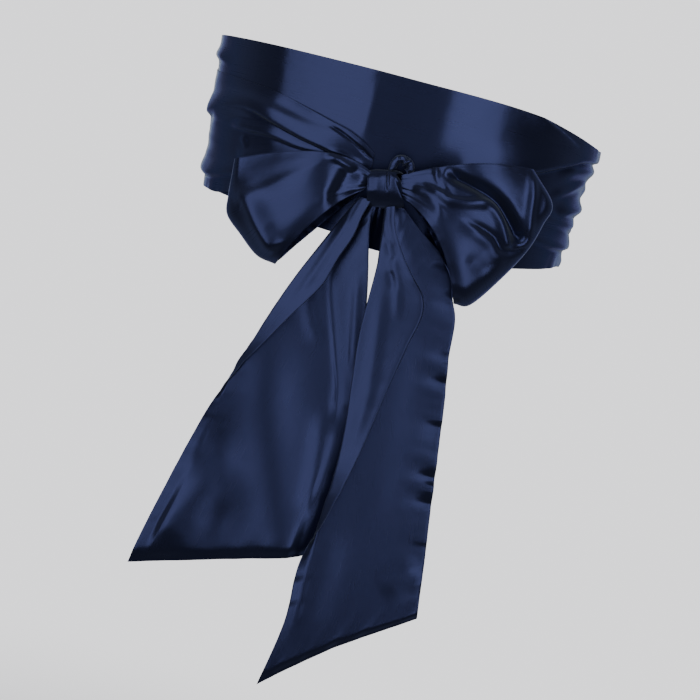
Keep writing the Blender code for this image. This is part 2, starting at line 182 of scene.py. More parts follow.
def studio_floor():
    """A wide disc, diffuse near its middle and of the backdrop's own tone further out."""
    around = np.linspace(0, 2 * np.pi, 96, endpoint=False)
    ring = np.stack([np.cos(around), np.sin(around), 0 * around], axis=1) * FLOOR_RADIUS
    mesh = bpy.data.meshes.new("floor")
    mesh.from_pydata((ring + (0, 0, FLOOR_HEIGHT)).tolist(), [], [list(range(len(ring)))])
    made = bpy.data.materials.new("studio_floor")
    made.use_nodes = True
    tree = made.node_tree
    tree.nodes.clear()
    place = node(tree, "ShaderNodeTexCoord")
    length = node(tree, "ShaderNodeVectorMath", operation="LENGTH")
    flat = node(tree, "ShaderNodeVectorMath", operation="MULTIPLY", inputs={1: (1, 1, 0)})
    reach = {"From Min": FLOOR_FADE_FROM, "From Max": FLOOR_FADE_TO}
    fade = node(tree, "ShaderNodeMapRange", interpolation_type="SMOOTHSTEP", inputs=reach)
    lit = node(tree, "ShaderNodeBsdfDiffuse", inputs={"Color": FLOOR_TONE})
    far = node(tree, "ShaderNodeEmission", inputs={"Color": BACKDROP})
    blend = node(tree, "ShaderNodeMixShader")
    out = node(tree, "ShaderNodeOutputMaterial")
    join(
        tree,
        (place, "Object", flat, 0),
        (flat, "Vector", length, 0),
        (length, "Value", fade, "Value"),
        (fade, "Result", blend, "Fac"),
        (lit, "BSDF", blend, 1),
        (far, "Emission", blend, 2),
        (blend, "Shader", out, "Surface"),
    )
    mesh.materials.append(made)
    floor = bpy.data.objects.new("floor", mesh)
    floor.visible_glossy = False
    floor.visible_diffuse = False
    bpy.context.scene.collection.objects.link(floor)
    return floor


studio_world()
print(studio_floor().name, "at", FLOOR_HEIGHT, "m")

# %% [markdown]
# ## What satin is made of
#
# In satin each warp thread floats over several weft threads before it dips under one, so light meets
# long smooth threads. The group below draws those floats with a brick pattern whose bricks run along
# the ribbon, adds streaks from uneven threads, and a faint unevenness of the cloth itself. It puts
# out a colour, a roughness and a height, and the shader stays in the material.

# %% The weave group
THREAD = 0.14 * MM  # from one warp thread to the next
FLOAT_THREADS = 5  # weft threads that a warp thread passes over
THREAD_RISE = -0.004 * MM  # of the gaps between the floats
STREAKS = (1500, 26, 1)  # in a metre of cloth: many across, few along
ROUGHNESS_SPREAD = 0.02


def weave_group():
    """Satin weave: brick pattern of floats + streaks along the threads + low swells of the cloth."""
    group = bpy.data.node_groups.new("satin_weave", "ShaderNodeTree")
    made = group.interface.new_socket
    for name, kind in (
        ("UV", "Vector"),
        ("Place", "Vector"),
        ("Colour", "Color"),
        ("Streak colour", "Color"),
        ("Roughness", "Float"),
        ("Swell", "Float"),
    ):
        made(name=name, in_out="INPUT", socket_type="NodeSocket" + kind)
    for name, kind in (("Colour", "Color"), ("Roughness", "Float"), ("Height", "Float")):
        made(name=name, in_out="OUTPUT", socket_type="NodeSocket" + kind)
    given = node(group, "NodeGroupInput")
    out = node(group, "NodeGroupOutput")

    turned = node(group, "ShaderNodeMapping")
    turned.inputs["Rotation"].default_value = (0, 0, math.pi / 2)
    turned.inputs["Scale"].default_value = (1 / THREAD, 1 / THREAD, 1)
    floats = node(group, "ShaderNodeTexBrick", offset=0.4, offset_frequency=2, squash=1.0)
    for socket, value in (("Scale", 1), ("Mortar Size", 0.16), ("Mortar Smooth", 1), ("Row Height", 1)):
        floats.inputs[socket].default_value = value
    floats.inputs["Brick Width"].default_value = FLOAT_THREADS
    along = node(group, "ShaderNodeMapping", inputs={"Scale": STREAKS})
    streaks = node(group, "ShaderNodeTexNoise", inputs={"Scale": 1.0, "Detail": 3.0, "Roughness": 0.6})
    swell = node(group, "ShaderNodeTexNoise", inputs={"Scale": 95.0, "Detail": 2.0, "Roughness": 0.45})
    tint = node(group, "ShaderNodeMix", data_type="RGBA")
    ends = {"To Min": -ROUGHNESS_SPREAD, "To Max": ROUGHNESS_SPREAD}
    spread = node(group, "ShaderNodeMapRange", inputs=ends)
    rough = node(group, "ShaderNodeMath", operation="ADD")
    threads = node(group, "ShaderNodeMath", operation="MULTIPLY", inputs={1: THREAD_RISE})
    rise = node(group, "ShaderNodeMath", operation="MULTIPLY")
    total = node(group, "ShaderNodeMath", operation="ADD")
    join(
        group,
        (given, "UV", turned, "Vector"),
        (turned, "Vector", floats, "Vector"),
        (given, "UV", along, "Vector"),
        (along, "Vector", streaks, "Vector"),
        (given, "Place", swell, "Vector"),
        (streaks, "Fac", tint, "Factor"),
        (given, "Colour", tint, "A"),
        (given, "Streak colour", tint, "B"),
        (tint, "Result", out, "Colour"),
        (streaks, "Fac", spread, "Value"),
        (spread, "Result", rough, 0),
        (given, "Roughness", rough, 1),
        (rough, "Value", out, "Roughness"),
        (floats, "Fac", threads, 0),
        (swell, "Fac", rise, 0),
        (given, "Swell", rise, 1),
        (threads, "Value", total, 0),
        (rise, "Value", total, 1),
        (total, "Value", out, "Height"),
    )
    return group


weave = weave_group()
print("weave group:", len(weave.nodes), "nodes")

# %% [markdown]
# ## The two finishes
#
# The ribbon is one cloth, but it is crushed where it is knotted. Both finishes use the group, and
# differ in how much the cloth swells between its creases. The highlight of dyed satin is coloured,
# which a dielectric can't give, so the shader is mostly metallic with a dark blue base. The long
# threads draw the highlight out across them, so it is anisotropic, with the cloth's own UV map for
# its direction. A dark tint keeps what turns away from whitening, and a little blue sheen stands
# for the fibre ends.

# %% Satin
NAVY = (0.0225, 0.027, 0.075, 1.0)
NAVY_STREAK = (0.027, 0.032, 0.087, 1.0)
SATIN_SHINE = {
    "Metallic": 0.88,
    "Specular IOR Level": 0.5,
    "Specular Tint": (0.25, 0.30, 0.42, 1.0),
    "Sheen Weight": 0.17,
    "Sheen Roughness": 0.5,
    "Sheen Tint": (0.62, 0.74, 1.0, 1.0),
    "Anisotropic": 0.65,
}


def satin(name, roughness, swell):
    """Principled satin: the weave's colour, roughness and height, and the shine of SATIN_SHINE."""
    made = bpy.data.materials.new(name)
    made.use_nodes = True
    tree = made.node_tree
    shader = tree.nodes["Principled BSDF"]
    for socket, value in SATIN_SHINE.items():
        shader.inputs[socket].default_value = value
    grain = node(tree, "ShaderNodeTangent", direction_type="UV_MAP", uv_map="cloth")
    place = node(tree, "ShaderNodeTexCoord")
    cloth_uv = node(tree, "ShaderNodeUVMap", uv_map="cloth")
    cloth = {"Colour": NAVY, "Streak colour": NAVY_STREAK, "Roughness": roughness, "Swell": swell}
    threads = node(tree, "ShaderNodeGroup", node_tree=weave, inputs=cloth)
    bump = node(tree, "ShaderNodeBump", inputs={"Strength": 1.0, "Distance": 1.0})
    join(
        tree,
        (cloth_uv, "UV", threads, "UV"),
        (place, "Object", threads, "Place"),
        (threads, "Colour", shader, "Base Color"),
        (threads, "Roughness", shader, "Roughness"),
        (threads, "Height", bump, "Height"),
        (bump, "Normal", shader, "Normal"),
        (grain, "Tangent", shader, "Tangent"),
    )
    return made


smooth_satin = satin("navy_satin", roughness=0.28, swell=0.10 * MM)
crushed_satin = satin("navy_satin_crushed", roughness=0.28, swell=0.16 * MM)
print("finishes:", smooth_satin.name, crushed_satin.name)

# %% [markdown]
# ## Tools for shaping cloth
#
# Every stretch is a grid of points, worked out from short tables. Three helpers turn tables into
# shape: a smooth curve through a few values, an S-shaped ramp, and a crease, which is a soft ridge
# or trough along a path. A crease may be steep on one side and slow on the other, as a pleat is.

# %% Curves, ramps and creases
def smooth_through(places, values, at):
    """A smooth curve through values at places, read at other places: cubic pieces whose slopes are
    those of the chords between neighbours."""
    places, values, at = (np.asarray(a, float) for a in (places, values, at))
    column = (-1,) + (1,) * (values.ndim - 1)
    chords = np.diff(values, axis=0) / np.diff(places).reshape(column)
    slopes = np.concatenate([chords[:1], (chords[1:] + chords[:-1]) / 2, chords[-1:]])
    piece = np.clip(np.searchsorted(places, at, side="right") - 1, 0, len(places) - 2)
    step = (places[piece + 1] - places[piece]).reshape(column)
    t = (at - places[piece]).reshape(column) / step
    return (
        values[piece] * (2 * t**3 - 3 * t**2 + 1)
        + slopes[piece] * step * (t**3 - 2 * t**2 + t)
        + values[piece + 1] * (3 * t**2 - 2 * t**3)
        + slopes[piece + 1] * step * (t**3 - t**2)
    )


def ramp(value, low, high):
    """0 below low, 1 above high, and an even S between."""
    t = np.clip((np.asarray(value, float) - low) / (high - low), 0, 1)
    return t * t * (3 - 2 * t)


def crease(u, v, path, out, left, right, fade=0.22):
    """out x exp(-(distance from the path / width)^2), which rises and dies away over the first and
    last share of the path. The width differs left and right of the way the path goes."""
    path = np.asarray(path, float)
    line = smooth_through(np.arange(len(path)), path, np.linspace(0, len(path) - 1, 6 * len(path)))
    reach = 2.6 * max(left, right)
    low, high = line.min(axis=0) - reach, line.max(axis=0) + reach
    near = (u > low[0]) & (u < high[0]) & (v > low[1]) & (v < high[1])
    at_u, at_v = u[near], v[near]
    nearest = np.full(at_u.shape, np.inf)
    side, along = np.zeros_like(nearest), np.zeros_like(nearest)
    for k, (start, step) in enumerate(zip(line[:-1], np.diff(line, axis=0))):
        t = np.clip(((at_u - start[0]) * step[0] + (at_v - start[1]) * step[1]) / (step @ step), 0, 1)
        du, dv = at_u - start[0] - t * step[0], at_v - start[1] - t * step[1]
        off = du * du + dv * dv
        nearer = off < nearest
        nearest = np.where(nearer, off, nearest)
        side = np.where(nearer, step[0] * dv - step[1] * du, side)
        along = np.where(nearer, (k + t) / (len(line) - 1), along)
    ends = ramp(along, 0, fade) * ramp(1 - along, 0, fade)
    made = np.zeros(u.shape)
    made[near] = out * ends * np.exp(-nearest / np.where(side > 0, left, right) ** 2)
    return made


def creases(u, v, table):
    """Everything that a table's rows press in or raise, added up, in the table's millimetres."""
    return sum(crease(u, v, path, *sizes) for path, *sizes in table)


def scaled(table, first, second):
    """The same table with the two columns of its paths multiplied, so that degrees become mm."""
    return [(np.array(path, float) * (first, second), *sizes) for path, *sizes in table]


def distance(points, axis=0):
    """How far each point is along its line: the lengths of the steps before it, added up."""
    run = np.cumsum(np.linalg.norm(np.diff(points, axis=axis), axis=-1), axis=axis)
    return np.concatenate([np.zeros_like(run.take([0], axis)), run], axis)


def uneven(along, period, seed):
    """Uneven waves from -1 to 1: three sines whose lengths share no measure, the first one bent."""
    a = 2 * np.pi * along / period
    return (
        0.55 * np.sin(a + 1.3 * np.sin(0.37 * a + seed))
        + 0.30 * np.sin(1.73 * a + 2.1 * seed)
        + 0.15 * np.sin(3.1 * a + seed)
    )


print("a crease's middle:", crease(np.zeros(1), np.zeros(1), ((-9, 0), (9, 0)), 2.0, 1, 1))

# %% [markdown]
# ## From a grid to a shell of cloth
#
# The real ribbon is a flat tube pressed at its seams, so it has thickness and rounded edges. The
# shell takes the grid half a thickness to either side along its normals, thins towards the outer
# two rows so that the edge is round, and joins both faces round the rim. Its UV map is the cloth's
# own: metres across the ribbon, and metres along it.

# %% Shell builder
CLOTH = 0.7 * MM  # both layers together
RIBBON = 0.108  # the cut's finished width, in metres
EDGE_STEPS = (0.0, 0.3, 0.9)  # millimetres in from an edge, where the shell rounds off
EDGE_SHARE = (0.35, 0.85)  # share of the thickness on the outer two rows


def steps_across(count, width):
    """Places from 0 to 1 across a ribbon: even, with close steps at both edges. Width is in mm."""
    edge = np.array(EDGE_STEPS) / width
    inner = np.linspace(edge[-1], 1 - edge[-1], count)
    return np.concatenate([edge[:-1], inner, 1 - edge[-2::-1]])


def normals_of(grid):
    """The unit normal at each point of a grid, from the steps to its neighbours."""
    across = np.cross(np.gradient(grid, axis=0), np.gradient(grid, axis=1))
    return across / np.maximum(np.linalg.norm(across, axis=2, keepdims=True), 1e-12)


def edge_round(count):
    """The share of the thickness along one side of a grid."""
    share = np.ones(count)
    share[:2] = EDGE_SHARE
    share[-2:] = EDGE_SHARE[::-1]
    return share


def cloth_object(name, points, faces, material):
    """A new object at the origin with these faces. It rides the root body."""
    mesh = bpy.data.meshes.new(name)
    mesh.from_pydata(points, [], faces)
    mesh.uv_layers.new(name="cloth")
    mesh.materials.append(material)
    mesh.shade_smooth()
    mesh.update()
    made = bpy.data.objects.new(name, mesh)
    bpy.context.scene.collection.objects.link(made)
    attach(made, "root")
    return made


def shell(name, grid, across, material, thickness=CLOTH):
    """A closed shell about a grid (along the ribbon, across it): the grid moved half a thickness to
    either side along its normals, and a rim between. Its volume's sign says which way faces turn."""
    rows, columns = grid.shape[:2]
    half = normals_of(grid) * thickness / 2
    half *= np.minimum(edge_round(rows)[:, None], edge_round(columns)[None, :])[..., None]
    points = np.concatenate([(grid + half).reshape(-1, 3), (grid - half).reshape(-1, 3)])
    index = np.arange(rows * columns).reshape(rows, columns)
    front = np.stack([index[:-1, :-1], index[1:, :-1], index[1:, 1:], index[:-1, 1:]], -1).reshape(-1, 4)
    back = front[:, ::-1] + rows * columns
    rim = np.concatenate([index[0, :], index[1:, -1], index[-1, -2::-1], index[-2:0:-1, 0]])
    turn = np.roll(rim, -1)
    side = np.stack([turn, rim, rim + rows * columns, turn + rows * columns], 1)
    faces = np.concatenate([front, back, side])
    a, b, c, d = (points[faces[:, k]] for k in range(4))
    volume = np.einsum("ij,ij->", a, np.cross(b, c)) + np.einsum("ij,ij->", a, np.cross(c, d))
    if volume < 0:
        faces = faces[:, ::-1]
    made = cloth_object(name, points, faces.tolist(), material)
    along = np.linalg.norm(np.diff(grid, axis=0), axis=2).mean(axis=1)
    v = np.concatenate([[0], np.cumsum(along)])
    uv = np.stack(np.broadcast_arrays(across * RIBBON, v[:, None]), -1).reshape(-1, 2)
    uv = np.tile(uv, (2, 1))[faces.ravel()]
    made.data.uv_layers["cloth"].data.foreach_set("uv", uv.astype(np.float32).ravel())
    return made


def sheet_area(grid):
    """The area of a grid, in square metres: the sum of its cells' cross products."""
    return np.linalg.norm(np.cross(np.gradient(grid, axis=0), np.gradient(grid, axis=1)), axis=2).sum()


print("ribbon", RIBBON, "m wide,", len(steps_across(60, 100)), "places across it")

# %% [markdown]
# ## The winding
#
# A waist is near enough an ellipse that narrows downwards. The ribbon starts beside the front, goes
# round once next to the body, passes over the front again as the smooth panel, goes round a second
# time in level folds, and is drawn over the front to the knot. Its angle therefore runs from 7.5 to
# 714 degrees, and each turn lies a little further out. It is one continuous shell, so no seam shows.

# %% The form of the waist
WAIST_TOP, WAIST_BOTTOM = 50 * MM, -50 * MM
HALF_WIDTH_TOP, HALF_WIDTH_BOTTOM = 131 * MM, 120.5 * MM
SHIFT_TOP, SHIFT_BOTTOM = -0.5 * MM, 4 * MM
DEPTH_SHARE = 0.71
INNER_MIDDLE, PITCH = 0.6 * MM, 1.7 * MM


def winding_point(angle, height, out=0.0):
    """A point of the winding: the ellipse of the waist at that height, moved out by the layers
    below. Angle is in degrees along it, height and out in metres."""
    share = (height - WAIST_BOTTOM) / (WAIST_TOP - WAIST_BOTTOM)
    half_width = HALF_WIDTH_BOTTOM + (HALF_WIDTH_TOP - HALF_WIDTH_BOTTOM) * share
    shift = SHIFT_BOTTOM + (SHIFT_TOP - SHIFT_BOTTOM) * share
    layer = INNER_MIDDLE + PITCH * angle / 360 + out
    x = shift + (half_width + layer) * np.sin(np.radians(angle))
    y = -(half_width * DEPTH_SHARE + layer) * np.cos(np.radians(angle))
    return np.stack(np.broadcast_arrays(x, y, height), axis=-1)


print("front of the waist at", winding_point(0.0, 0.0))

# %% [markdown]
# ### Its edges and folds
#
# The tables name the ribbon's upper and lower edge along the way, and then its folds. A fold's path
# is given in degrees and millimetres of height. It stands out from the waist, slow above and steep
# below, because the cloth sags over itself. No two are alike in length, depth or spacing. The front
# is drawn tight, so there it is flatter than an ellipse: three wide facets with soft edges between
# them, and each reflects one even tone.

# %% Edges and folds of the winding
# (angle, top, bottom)
WINDING_EDGES = (
    (0, 47, -47),
    (60, 42, -41),
    (90, 38, -37),
    (135, 44, -43),
    (180, 46, -46),
    (225, 48, -46),
    (255, 51.5, -47),
    (300, 52.5, -50.5),
    (322, 53, -52.5),
    (360, 53.4, -54.5),
    (400, 52.5, -50),
    (414, 48.7, -46.5),
    (430, 44, -43),
    (442, 42, -41),
    (460, 43, -42),
    (490, 46, -46),
    (540, 50, -50),
    (575, 49, -50),
    (600, 43, -50),
    (620, 33.5, -49.7),
    (632, 29, -49.5),
    (645, 27.5, -50),
    (655, 27, -50.5),
    (665, 26.3, -47.5),
    (675, 25, -42),
    (683, 22.8, -35.5),
    (692, 18.6, -28),
    (701, 14, -21),
    (706, 11.4, -17),
    (710, 7.6, -14.5),
    (714, 1.5, -12.5),
)
# ((angle, height), ...), out, above, below, share of the path in which it rises and dies away
WINDING_FOLDS = (
    # the panel's pleat, round the right side to the back
    (
        ((372, 0), (383, 6), (394, 13.5), (404, 18.2), (412, 24), (421, 29.5), (428, 33), (445, 34.5),
         (525, 37)),
        4.2, 12, 1.7, 0.10,
    ),
    # the panel's upper corner, which overlaps the ribbon's edge
    (((392, 59), (402, 51), (410, 46), (416, 42.4), (422, 38.5), (427, 34)), 2.4, 1.2, 8, 0.3),
    # right side
    (((414, 22), (430, 26), (455, 27), (500, 27), (548, 27)), 3.6, 4, 5, 0.14),
    (((414, 4), (423, 10), (434, 16.5), (446, 19)), 1.6, 3.4, 3, 0.25),
    (((440, 12), (456, 14.5), (490, 14), (530, 12)), 2, 4, 4, 0.25),
    (((418, -5), (434, -1.5), (450, 0.5), (490, 1), (560, -1)), 3.8, 5, 4.4, 0.16),
    (((404, -9), (418, -10.5), (434, -12), (450, -11)), 2.8, 5, 3.4, 0.22),
    (((440, -14), (462, -16), (500, -14)), 1.8, 4, 3, 0.25),
    (((404, -23), (416, -26.5), (430, -27.5), (450, -26), (490, -25), (535, -27)), 3.8, 7, 2, 0.12),
    (((438, -36), (460, -38), (490, -37), (520, -39)), 2.4, 4, 5, 0.25),
    # the back
    (((495, 37), (530, 40), (565, 38.5), (600, 34)), 3.3, 7, 2.6, 0.16),
    (((515, 21), (555, 24), (590, 21), (616, 17)), 3, 6, 3.6, 0.2),
    (((530, 9), (570, 11.5), (612, 5)), 2.4, 6, 3.8, 0.2),
    (((550, -10), (590, -9), (622, -15)), 3.2, 7, 3.6, 0.24),
    (((530, -28), (565, -30), (604, -27)), 3.2, 7, 2.8, 0.2),
    (((505, 4), (540, 2), (575, 3.5)), 1.4, 3, 2, 0.3),
    (((560, 17), (585, 16.5), (612, 13)), 1.2, 2.5, 1.6, 0.3),
    (((560, -20), (590, -21), (618, -20)), 1.4, 3, 2, 0.3),
    (((500, -45), (530, -43.5), (556, -45.5)), 1.3, 2.4, 2.4, 0.3),
    # left side, on the layer below and on the outer one
    (((240, 42), (262, 40), (280, 38), (296, 35)), 2.6, 5, 2.2, 0.25),
    (
        ((585, -34), (618, -36.5), (632, -37.5), (645.5, -40), (654.5, -38.5), (662.5, -36), (672, -32),
         (684, -25.5)),
        3.6, 9, 1.9, 0.12,
    ),
    # the pleats drawn over the front to the knot
    (
        ((634, -2), (642, 0), (649, 2.4), (656, 5.6), (666, 9.2), (673.5, 8.9), (681, 5.5), (691, 0.4),
         (703, -4.4), (713, -9)),
        5.6, 13, 1.8, 0.16,
    ),
    # the hollow under the first pleat is wider where the pleat starts
    (((640, -1), (648, 2), (656, 5.4), (664, 8.6), (672, 8.6), (680, 6)), 4.4, 8, 5.5, 0.3),
    (
        ((659, -5), (666, -4.2), (672.5, -4), (681, -3.9), (691.5, -6.8), (700.5, -6.4), (712, -9.5)),
        3.2, 6, 1.5, 0.24,
    ),
    (((664, -27), (678, -21), (692, -15), (710, -12)), 3, 7, 2.2, 0.2),
    (((667.5, -8), (670, -14), (673, -22)), 1.4, 2.2, 2.6, 0.35),
)
# creases finer than a fold, added on top of them, in the same columns
WINDING_CREASES = (
    (((350.5, 51), (350.3, 34), (350, 20), (349.5, 7)), 0.4, 2.6, 1.4, 0.3),
    (((699, 12), (705, 7.5), (710, 2), (714, -4)), -1.8, 1.2, 0.7, 0.2),
    (((700, -4), (706, -4.5), (712, -8)), 1.2, 1.8, 1, 0.3),
    (((662, 20), (676, 15), (690, 8), (702, 1)), 0.7, 4, 7, 0.3),
)
DEGREE = 2.0  # millimetres of ribbon in a degree, on average
START, END = 7.5, 714.0  # degrees
FINE_FROM, FINE_STEP, COARSE_STEP = 215.0, 1.05, 3.0
GATHERED = (405 * DEGREE, 440 * DEGREE)  # from the panel, which is smooth, to the gathered side
HUGS_FROM, HUGS_TO = (590 * DEGREE, 612 * DEGREE), (684 * DEGREE, 700 * DEGREE)
HUG_REACH, SINK = 8.5, 0.9  # mm down from the edge, and the furthest that cloth may go inwards
WINDING_ACROSS, MIDDLE = 80, 40  # MIDDLE is a column half way across
FACET_ENDS, FACET_SHARE, FACET_DEPTH = (-39.0, -10.5, 12.0, 28.5), 0.6, 89.0
print("folds:", len(WINDING_FOLDS), "fine creases:", len(WINDING_CREASES))

# %% [markdown]
# ### Making it
#
# Where folds meet, the one that stands out most wins, as it does in cloth that lies over itself; the
# fine creases are added after that. Each edge is a seam, which draws up a little and makes the cloth
# pucker beside it, so uneven waves run along both edges and die away inwards.

# %% The winding
def facets(angle):
    """How far the waist's ellipse stands out from straight chords between FACET_ENDS, in mm, evened
    out over its neighbours so that the chords meet in soft edges."""
    ends = np.radians(FACET_ENDS)
    turned = np.radians((angle + 180) % 360 - 180)
    chord = np.interp(np.sin(turned), np.sin(ends), np.cos(ends), left=-2, right=-2)
    in_front = (chord > -1) & (np.cos(turned) > 0)
    off = np.where(in_front, (np.cos(turned) - chord) * FACET_DEPTH, 0.0)
    return np.convolve(off, (0.1, 0.24, 0.32, 0.24, 0.1), mode="same")


def winding():
    """Folds: the highest of their ridges. Edges: uneven waves x exp(-distance in / reach)."""
    coarse, fine = np.arange(START, FINE_FROM, COARSE_STEP), np.arange(FINE_FROM, END, FINE_STEP)
    angle = np.concatenate([coarse, fine, [END]])
    places, top, bottom = np.array(WINDING_EDGES, float).T
    top, bottom = (smooth_through(places, edge, angle)[:, None] for edge in (top, bottom))
    across = steps_across(WINDING_ACROSS, 100)
    height = bottom + (top - bottom) * across
    u = np.broadcast_to(angle[:, None] * DEGREE, height.shape)
    out = np.zeros_like(height)
    for row in scaled(WINDING_FOLDS, DEGREE, 1):
        out = np.maximum(out, crease(u, height, *row))
    out = out + creases(u, height, scaled(WINDING_CREASES, DEGREE, 1))
    gathered = ramp(u, *GATHERED)
    for edge, seed in ((top, 0.4), (bottom, 2.3)):
        inwards = np.abs(height - edge)
        waves = uneven(u, 27, seed) * (0.05 + 0.30 * gathered)
        out = out + (0.3 + waves) * np.exp(-inwards / 6) * gathered + waves * 0.4 * np.exp(-inwards / 4)
    out = out + 0.18 * gathered * uneven(height + 0.12 * u, 17, 1.1)
    # the outer turn's upper edge lies flat on the smooth layer below it
    hugs = ramp(u, *HUGS_FROM) * (1 - ramp(u, *HUGS_TO))
    out = out - hugs * (out + SINK) * np.exp(-(((top - height) / HUG_REACH) ** 2))
    flatter = FACET_SHARE * facets(angle)[:, None]
    grid = winding_point(angle[:, None], height * MM, (np.maximum(out, -SINK) - flatter) * MM)
    return grid, across


grid, across = winding()
winding_piece = shell("winding", grid, across[None, :], smooth_satin)
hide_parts("under_turn", "front_panel", "outer_turn", "left_gather")
length, shown = distance(grid[:, MIDDLE])[-1], sheet_area(grid)

# %% [markdown]
# ## The under end
#
# The ribbon's inner end comes down from the knot and goes under the lower edge of the front. Only a
# narrow dark strip of it shows between the two tails. It is a J in profile, so its table runs from
# the knot down, round the edge and up behind.

# %% The under end
# (out from the front panel, height, half width)
UNDER_END = (
    (7.6, -26, 7),
    (6.6, -36, 8.5),
    (4.2, -46, 10),
    (2.2, -53.5, 11),
    (1.0, -57.6, 11),
    (-1.1, -57.6, 11),
    (-1.7, -54, 11),
    (-1.7, -40, 11),
    (-1.7, -20, 11),
)
UNDER_END_X = 2.5


def under_end():
    """The table's curve, and across it a strip that is bent with the front and lightly pleated."""
    at = np.linspace(0, len(UNDER_END) - 1, 70)
    rows = smooth_through(np.arange(len(UNDER_END)), np.array(UNDER_END, float), at)
    out, z, half = rows.T[..., None] * MM
    across = steps_across(22, 20)
    side = 2 * across[None, :] - 1
    pleats = 0.7 * MM * np.cos(side * 9 + 0.6) * ramp(-z, -10 * MM, 60 * MM) * ramp(out, 1.2 * MM, 5 * MM)
    x = UNDER_END_X * MM + half * side
    angle = np.degrees((x - SHIFT_BOTTOM) / HALF_WIDTH_BOTTOM)
    return winding_point(360 + angle, z, out + pleats), across


grid, across = under_end()
under_piece = shell("under_end_cloth", grid, across[None, :], smooth_satin)
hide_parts("under_end")
print("under end area", round(sheet_area(grid), 5))

# %% [markdown]
# ## The knot
#
# Under the outer layer the knot is a bunch of hidden folds, which only needs a rounded core. Over it
# goes one band of cloth, from the back over the front to the back again, with a few sharp pleats
# where it is pulled tight. Above it a small ruffle of cloth stands out, hollow in the middle.

# %% Knot core and wrap
KNOT_MIDDLE = np.array((0.5, -104, -19)) * MM
KNOT_HALF = np.array((11.0, 6.8, 11.6)) * MM
KNOT_LEAN = math.radians(12)  # its right side stands higher
WRAP_CLEAR, WRAP_TURN = 1.0 * MM, (-62, 242)
WRAP_DEGREE = 0.14  # millimetres round the knot in a degree
CORE_RINGS, CORE_AROUND = 40, 72
# ((mm across, degrees down from the front), ...), in, left, right, rise
WRAP_CREASES = (
    (((2.4, -70), (2.0, -40), (1.6, -12), (1.4, 6)), -0.8, 0.7, 0.5, 0.25),
    (((4.6, -60), (4.4, -34), (3.6, -4)), -0.6, 0.6, 0.8, 0.3),
    (((-5.5, -50), (-5.2, -20), (-4.6, 20)), 0.3, 2.4, 2.0, 0.3),
)


def on_knot(turn, across, clear):
    """A point out from the knot, an ellipsoid thinner at its sides: turn in radians round the x axis
    from the front up, across -1 to 1 along that axis. Its left side and its underside lean back."""
    round_off = np.sqrt(np.maximum(1 - 0.30 * across**4, 0))
    dx = KNOT_HALF[0] * across
    dz = (KNOT_HALF[2] * round_off + clear) * np.sin(turn)
    back = 0.16 * -dx + 0.15 * (np.sqrt(dz**2 + (4 * MM) ** 2) - dz)
    x = KNOT_MIDDLE[0] + dx * math.cos(KNOT_LEAN) - dz * math.sin(KNOT_LEAN)
    y = KNOT_MIDDLE[1] + back - (KNOT_HALF[1] * round_off + clear) * np.cos(turn)
    z = KNOT_MIDDLE[2] + dx * math.sin(KNOT_LEAN) + dz * math.cos(KNOT_LEAN)
    return np.stack(np.broadcast_arrays(x, y, z), axis=-1)


def knot_core():
    """Rings round the x axis that close to a point at both ends, with shallow pleats round them."""
    across = np.sin(np.linspace(-1, 1, CORE_RINGS) * np.pi / 2)[:, None]
    turn = np.linspace(0, 2 * np.pi, CORE_AROUND, endpoint=False)[None, :]
    rings = on_knot(turn, across, 0.0)
    middle = rings.mean(axis=1, keepdims=True)
    closing = np.sqrt(np.maximum(1 - across[..., None] ** 2, 1e-6)) ** 0.6
    rings = middle + (rings - middle) * closing * (1 + 0.03 * np.cos(9 * turn + 5 * across))[..., None]
    index = np.arange(CORE_RINGS * CORE_AROUND).reshape(CORE_RINGS, CORE_AROUND)
    turned = np.roll(index, -1, axis=1)
    faces = np.stack([index[:-1], turned[:-1], turned[1:], index[1:]], -1).reshape(-1, 4).tolist()
    faces += [index[0, ::-1].tolist(), index[-1].tolist()]
    made = cloth_object("knot_core_cloth", rings.reshape(-1, 3), faces, crushed_satin)
    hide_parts("knot_core")
    return made


def knot_wrap():
    """The band round the knot. Its right edge leans outwards on the way down."""
    turn = np.radians(np.linspace(*WRAP_TURN, 150))[:, None]
    across = steps_across(48, 20)
    side = (2 * across - 1)[None, :]
    grid = on_knot(turn, side, WRAP_CLEAR)
    low = ramp(KNOT_MIDDLE[2] - grid[..., 2], -8 * MM, 6 * MM)
    grid[..., 0] += (6.0 * low - 4.4) * MM * ramp(side, -0.2, 1) * ramp(np.cos(turn), -0.2, 0.6)
    u = np.broadcast_to(side * KNOT_HALF[0] / MM, grid.shape[:2])
    v = np.broadcast_to(-np.degrees(turn) * WRAP_DEGREE, grid.shape[:2])
    pressed = creases(u, v, scaled(WRAP_CREASES, 1, WRAP_DEGREE))
    edge = np.exp(-(1 - np.abs(side)) * 6)
    pressed = pressed + edge * (0.35 + 0.15 * uneven(v, 9, 0.7))
    return grid + normals_of(grid) * -pressed[..., None] * MM, across


core = knot_core()
grid, across = knot_wrap()
wrap_piece = shell("knot_wrap_cloth", grid, across[None, :], crushed_satin, 0.6 * MM)
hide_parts("knot_wrap")
print("wrap area", round(sheet_area(grid), 6))

# %% The ruffle above the knot
TUCK = ((0.4, -6.0), (0.4, -1.4), (2.8, 3.2), (7.4, 4.5), (12.0, 2.6), (14.2, -1.8), (12.2, -5.4))  # x, z
TUCK_MIDDLE = (7.4, -2.0)
LIP = (0, 0.22, 0.45, 0.7, 1)  # places across the cloth, from the hollow over the lip to the back
LIP_RADIUS, LIP_Y = (0.40, 0.62, 0.98, 1.12, 1.0), (-103.5, -107.6, -107.2, -103, -97.5)


